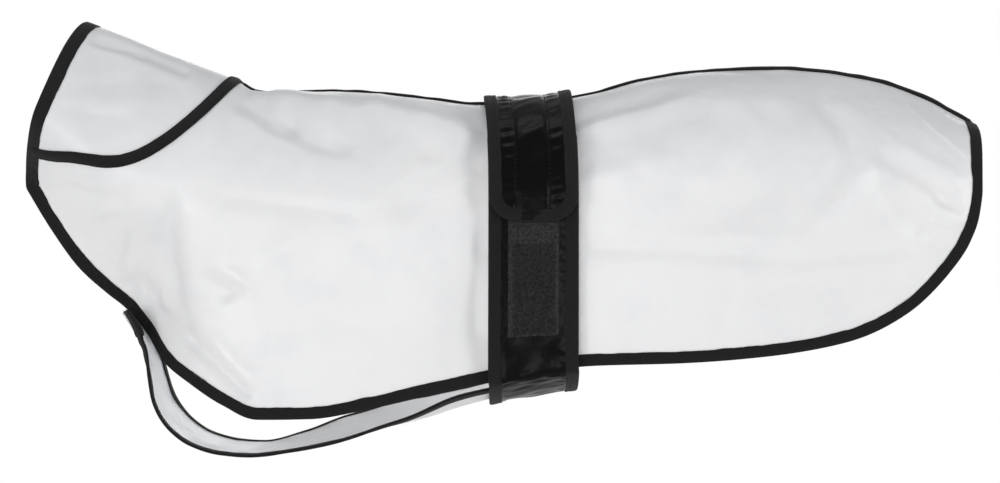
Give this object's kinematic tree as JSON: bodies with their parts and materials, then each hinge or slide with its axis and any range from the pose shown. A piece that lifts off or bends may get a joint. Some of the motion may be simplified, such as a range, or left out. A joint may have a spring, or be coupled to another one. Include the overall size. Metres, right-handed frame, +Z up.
{
  "type": "dog raincoat",
  "caption": "Hollow dog raincoat of frosted film with black tape edges, a stand collar, a chest bib and a girth belt that closes with hook and loop, shaped as worn.",
  "frame": {"origin": "inner face of the back under the girth belt, on the spine line, where the coat lies on the wearer's back", "axes": "+X towards the tail, +Z up, -Y the wearer's left side"},
  "size_m": [0.5737, 0.1447, 0.26],
  "materials": {
    "film": "frosted translucent rain film, soft gloss",
    "tape": "black woven bias tape",
    "belt": "black satin cloth",
    "pile": "black hook and loop tape"
  },
  "bodies": {
    "root": {"panel_left": "film", "panel_right": "film", "collar": "film", "bib": "film", "spine_tape": "tape", "collar_tape": "tape", "rim_tape": "tape", "front_tape": "tape", "hem_tape": "tape", "bib_tape_left": "tape", "bib_tape_right": "tape", "belt": "belt", "belt_tape": "tape", "loop_strip": "pile", "hook_strip": "pile"}
  },
  "joints": []
}
